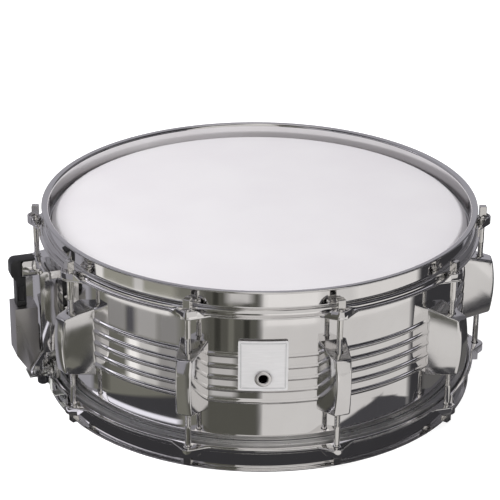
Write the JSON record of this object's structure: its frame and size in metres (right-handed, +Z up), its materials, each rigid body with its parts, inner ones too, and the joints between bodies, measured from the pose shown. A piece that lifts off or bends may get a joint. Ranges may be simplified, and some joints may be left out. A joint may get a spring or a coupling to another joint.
{
  "type": "snare drum",
  "caption": "Snare drum: a beaded metal shell with rod-tensioned heads above and below, and a lever throw-off that drops the wires from the lower head.",
  "frame": {"origin": "on the drum's axis, in the plane of the lower rim, on which the drum stands", "axes": "+Z up along the drum's axis towards the batter head; -Y through the badge and vent; the strainer is 72 degrees from -Y towards -X"},
  "size_m": [0.4183, 0.3948, 0.1607],
  "materials": {
    "chrome_shell": "mirror-polished chromed steel sheet",
    "chrome_trim": "polished chromed fittings",
    "chrome_hoop": "polished chromed pressed steel",
    "chrome_lug": "polished chromed die casting",
    "badge_plate": "fine brushed plate",
    "coated_film": "thin coated plastic film, faint grain",
    "clear_film": "thin hazy plastic film",
    "head_hoop": "rolled channel",
    "rod_steel": "chromed steel, threaded shank",
    "brass_nut": "turned",
    "black_plastic": "moulded",
    "gasket_rubber": "moulded",
    "plated_steel": "bright plated",
    "grip_plastic": "moulded, satin",
    "dark_metal": "black oxide",
    "snare_steel": "coiled wire",
    "strap_plastic": "plain film strap"
  },
  "bodies": {
    "drum": {"shell": "chrome_shell", "vent_grommet": "chrome_trim", "badge": "badge_plate", "batter_head_film": "coated_film", "batter_flesh_hoop": "head_hoop", "batter_hoop": "chrome_hoop", "snare_head_film": "clear_film", "snare_flesh_hoop": "head_hoop", "snare_side_hoop": "chrome_hoop", "lug_1": "chrome_lug", "lug_2": "chrome_lug", "lug_3": "chrome_lug", "lug_4": "chrome_lug", "lug_5": "chrome_lug", "lug_6": "chrome_lug", "lug_7": "chrome_lug", "lug_8": "chrome_lug", "lug_9": "chrome_lug", "lug_10": "chrome_lug", "swivel_nuts": "brass_nut", "nut_retainers": "black_plastic", "gaskets": "gasket_rubber", "shell_screws": "plated_steel", "shell_screw_washers": "plated_steel", "rod_washers": "plated_steel", "strainer_housing": "chrome_trim", "lever_pin": "plated_steel", "butt_plate": "chrome_trim", "butt_clamp_plate": "chrome_trim", "butt_clamp_screws": "plated_steel"},
    "batter_rod_1": {"batter_rod_1": "rod_steel"},
    "batter_rod_2": {"batter_rod_2": "rod_steel"},
    "batter_rod_3": {"batter_rod_3": "rod_steel"},
    "batter_rod_4": {"batter_rod_4": "rod_steel"},
    "batter_rod_5": {"batter_rod_5": "rod_steel"},
    "batter_rod_6": {"batter_rod_6": "rod_steel"},
    "batter_rod_7": {"batter_rod_7": "rod_steel"},
    "batter_rod_8": {"batter_rod_8": "rod_steel"},
    "batter_rod_9": {"batter_rod_9": "rod_steel"},
    "batter_rod_10": {"batter_rod_10": "rod_steel"},
    "snare_rod_1": {"snare_rod_1": "rod_steel"},
    "snare_rod_2": {"snare_rod_2": "rod_steel"},
    "snare_rod_3": {"snare_rod_3": "rod_steel"},
    "snare_rod_4": {"snare_rod_4": "rod_steel"},
    "snare_rod_5": {"snare_rod_5": "rod_steel"},
    "snare_rod_6": {"snare_rod_6": "rod_steel"},
    "snare_rod_7": {"snare_rod_7": "rod_steel"},
    "snare_rod_8": {"snare_rod_8": "rod_steel"},
    "snare_rod_9": {"snare_rod_9": "rod_steel"},
    "snare_rod_10": {"snare_rod_10": "rod_steel"},
    "throw_off": {"throw_off_lever": "chrome_trim", "lever_grip": "grip_plastic"},
    "carriage": {"snare_carriage": "plated_steel", "strainer_clamp_plate": "chrome_trim", "strainer_clamp_screws": "plated_steel"},
    "knob": {"tension_knob": "dark_metal", "adjusting_screw": "plated_steel"},
    "snares": {"snare_wires": "snare_steel", "snare_end_plates": "plated_steel", "snare_straps": "strap_plastic"}
  },
  "joints": [
    {"name": "batter_rod_1_turn", "type": "hinge", "parent": "drum", "child": "batter_rod_1", "pos_m": [0.05964, -0.18355, 0.11535], "axis": [0, 0, 1], "continuous": true},
    {"name": "batter_rod_2_turn", "type": "hinge", "parent": "drum", "child": "batter_rod_2", "pos_m": [0.15614, -0.11344, 0.11535], "axis": [0, 0, 1], "continuous": true},
    {"name": "batter_rod_3_turn", "type": "hinge", "parent": "drum", "child": "batter_rod_3", "pos_m": [0.193, 0, 0.11535], "axis": [0, 0, 1], "continuous": true},
    {"name": "batter_rod_4_turn", "type": "hinge", "parent": "drum", "child": "batter_rod_4", "pos_m": [0.15614, 0.11344, 0.11535], "axis": [0, 0, 1], "continuous": true},
    {"name": "batter_rod_5_turn", "type": "hinge", "parent": "drum", "child": "batter_rod_5", "pos_m": [0.05964, 0.18355, 0.11535], "axis": [0, 0, 1], "continuous": true},
    {"name": "batter_rod_6_turn", "type": "hinge", "parent": "drum", "child": "batter_rod_6", "pos_m": [-0.05964, 0.18355, 0.11535], "axis": [0, 0, 1], "continuous": true},
    {"name": "batter_rod_7_turn", "type": "hinge", "parent": "drum", "child": "batter_rod_7", "pos_m": [-0.15614, 0.11344, 0.11535], "axis": [0, 0, 1], "continuous": true},
    {"name": "batter_rod_8_turn", "type": "hinge", "parent": "drum", "child": "batter_rod_8", "pos_m": [-0.193, 0, 0.11535], "axis": [0, 0, 1], "continuous": true},
    {"name": "batter_rod_9_turn", "type": "hinge", "parent": "drum", "child": "batter_rod_9", "pos_m": [-0.15614, -0.11344, 0.11535], "axis": [0, 0, 1], "continuous": true},
    {"name": "batter_rod_10_turn", "type": "hinge", "parent": "drum", "child": "batter_rod_10", "pos_m": [-0.05964, -0.18355, 0.11535], "axis": [0, 0, 1], "continuous": true},
    {"name": "snare_rod_1_turn", "type": "hinge", "parent": "drum", "child": "snare_rod_1", "pos_m": [0.05964, -0.18355, 0.04535], "axis": [0, 0, -1], "continuous": true},
    {"name": "snare_rod_2_turn", "type": "hinge", "parent": "drum", "child": "snare_rod_2", "pos_m": [0.15614, -0.11344, 0.04535], "axis": [0, 0, -1], "continuous": true},
    {"name": "snare_rod_3_turn", "type": "hinge", "parent": "drum", "child": "snare_rod_3", "pos_m": [0.193, 0, 0.04535], "axis": [0, 0, -1], "continuous": true},
    {"name": "snare_rod_4_turn", "type": "hinge", "parent": "drum", "child": "snare_rod_4", "pos_m": [0.15614, 0.11344, 0.04535], "axis": [0, 0, -1], "continuous": true},
    {"name": "snare_rod_5_turn", "type": "hinge", "parent": "drum", "child": "snare_rod_5", "pos_m": [0.05964, 0.18355, 0.04535], "axis": [0, 0, -1], "continuous": true},
    {"name": "snare_rod_6_turn", "type": "hinge", "parent": "drum", "child": "snare_rod_6", "pos_m": [-0.05964, 0.18355, 0.04535], "axis": [0, 0, -1], "continuous": true},
    {"name": "snare_rod_7_turn", "type": "hinge", "parent": "drum", "child": "snare_rod_7", "pos_m": [-0.15614, 0.11344, 0.04535], "axis": [0, 0, -1], "continuous": true},
    {"name": "snare_rod_8_turn", "type": "hinge", "parent": "drum", "child": "snare_rod_8", "pos_m": [-0.193, 0, 0.04535], "axis": [0, 0, -1], "continuous": true},
    {"name": "snare_rod_9_turn", "type": "hinge", "parent": "drum", "child": "snare_rod_9", "pos_m": [-0.15614, -0.11344, 0.04535], "axis": [0, 0, -1], "continuous": true},
    {"name": "snare_rod_10_turn", "type": "hinge", "parent": "drum", "child": "snare_rod_10", "pos_m": [-0.05964, -0.18355, 0.04535], "axis": [0, 0, -1], "continuous": true},
    {"name": "throw_off_hinge", "type": "hinge", "parent": "drum", "child": "throw_off", "pos_m": [-0.19402, -0.06304, 0.03435], "axis": [0.309, -0.9511, 0], "range_deg": [0, 95]},
    {"name": "carriage_drop", "type": "slide", "parent": "drum", "child": "carriage", "axis": [0, 0, -1], "range_m": [0, 0.0046]},
    {"name": "knob_turn", "type": "hinge", "parent": "carriage", "child": "knob", "pos_m": [-0.18593, -0.06041, 0.02035], "axis": [0, 0, -1], "continuous": true},
    {"name": "snare_drop", "type": "hinge", "parent": "drum", "child": "snares", "pos_m": [0.17818, 0.05789, 0.01225], "axis": [0.309, -0.9511, 0], "range_deg": [0, 0.7]}
  ],
  "couplings": [
    {"joint": "carriage_drop", "follows": "throw_off_hinge", "m_per_rad": 0.002714},
    {"joint": "snare_drop", "follows": "throw_off_hinge", "ratio": 0.00717}
  ]
}
